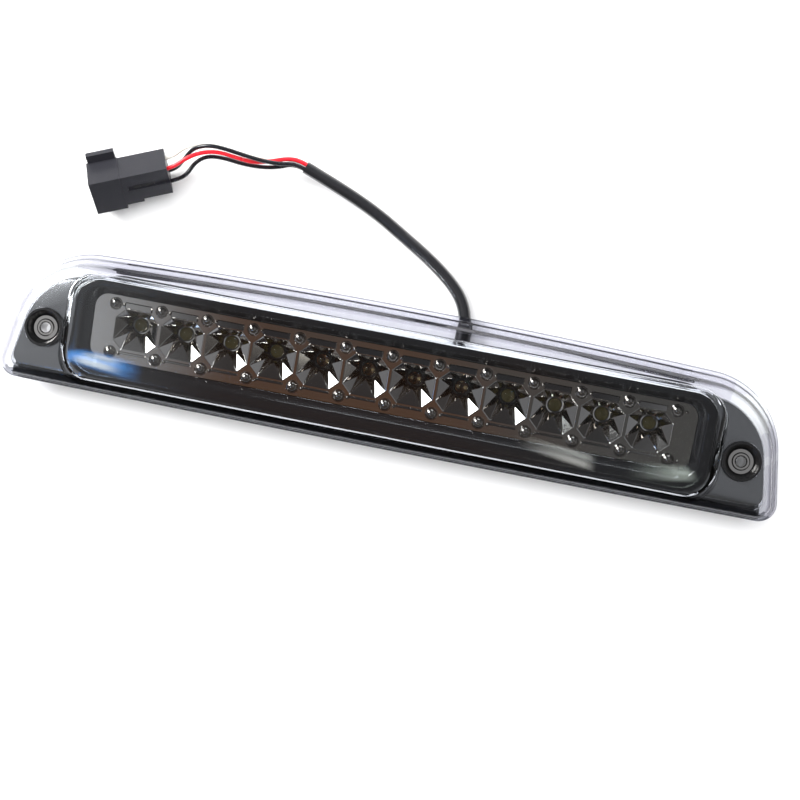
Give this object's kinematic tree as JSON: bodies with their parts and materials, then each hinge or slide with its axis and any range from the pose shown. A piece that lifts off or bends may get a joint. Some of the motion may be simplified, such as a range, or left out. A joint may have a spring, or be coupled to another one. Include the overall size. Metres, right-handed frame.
{
  "type": "third brake light",
  "caption": "Long curved high-mounted brake and cargo lamp with clear lens, smoked bezel, faceted reflector cups, screw ears and a wired connector.",
  "frame": {"origin": "centre of the lamp's footprint, on the surface that the back of its rear box rests on", "axes": "+X along the lamp, +Y towards its upper edge, +Z out of its face"},
  "size_m": [0.4036, 0.1385, 0.0376],
  "materials": {
    "clear_lens": "clear polycarbonate, polished",
    "black_housing": "moulded black ABS",
    "smoked_chrome": "smoked bright metallised plastic",
    "reflector_chrome": "bright metallised plastic",
    "board_green": "solder resist",
    "led_clear": "clear epoxy",
    "led_phosphor": "clear epoxy over yellow phosphor",
    "component_black": "moulded epoxy",
    "screw_steel": "zinc plated",
    "bushing_steel": "nickel plated, bright",
    "black_rubber": "satin",
    "seal_butyl": "tacky sealant",
    "gasket_foam": "closed-cell foam",
    "sleeve_black": "glossy PVC",
    "wire_white": "PVC insulation",
    "wire_red": "PVC insulation",
    "wire_black": "PVC insulation",
    "connector_grey": "moulded nylon",
    "lock_black": "moulded nylon",
    "terminal_tin": "tinned brass"
  },
  "bodies": {
    "lamp": {"lens": "clear_lens", "housing": "black_housing", "bezel": "smoked_chrome", "reflector": "reflector_chrome", "led_board": "board_green", "leds_brake": "led_clear", "leds_cargo": "led_phosphor", "resistors": "component_black", "diodes": "component_black", "board_screws": "screw_steel", "board_leads": "wire_black", "lens_seal": "seal_butyl", "gasket": "gasket_foam", "cable_grommet": "black_rubber", "screw_grommet_left": "black_rubber", "screw_grommet_right": "black_rubber", "screw_bushing_left": "bushing_steel", "screw_bushing_right": "bushing_steel", "cable_sleeve": "sleeve_black", "wire_white": "wire_white", "wire_red": "wire_red", "wire_black_upper": "wire_black", "wire_black_lower": "wire_black", "connector_housing": "connector_grey", "terminals": "terminal_tin"},
    "terminal_lock": {"terminal_lock": "lock_black"}
  },
  "joints": [
    {"name": "terminal_lock_slide", "type": "slide", "parent": "lamp", "child": "terminal_lock", "axis": [0.3748, -0.706, 0.6009], "range_m": [0, 0.002]}
  ]
}
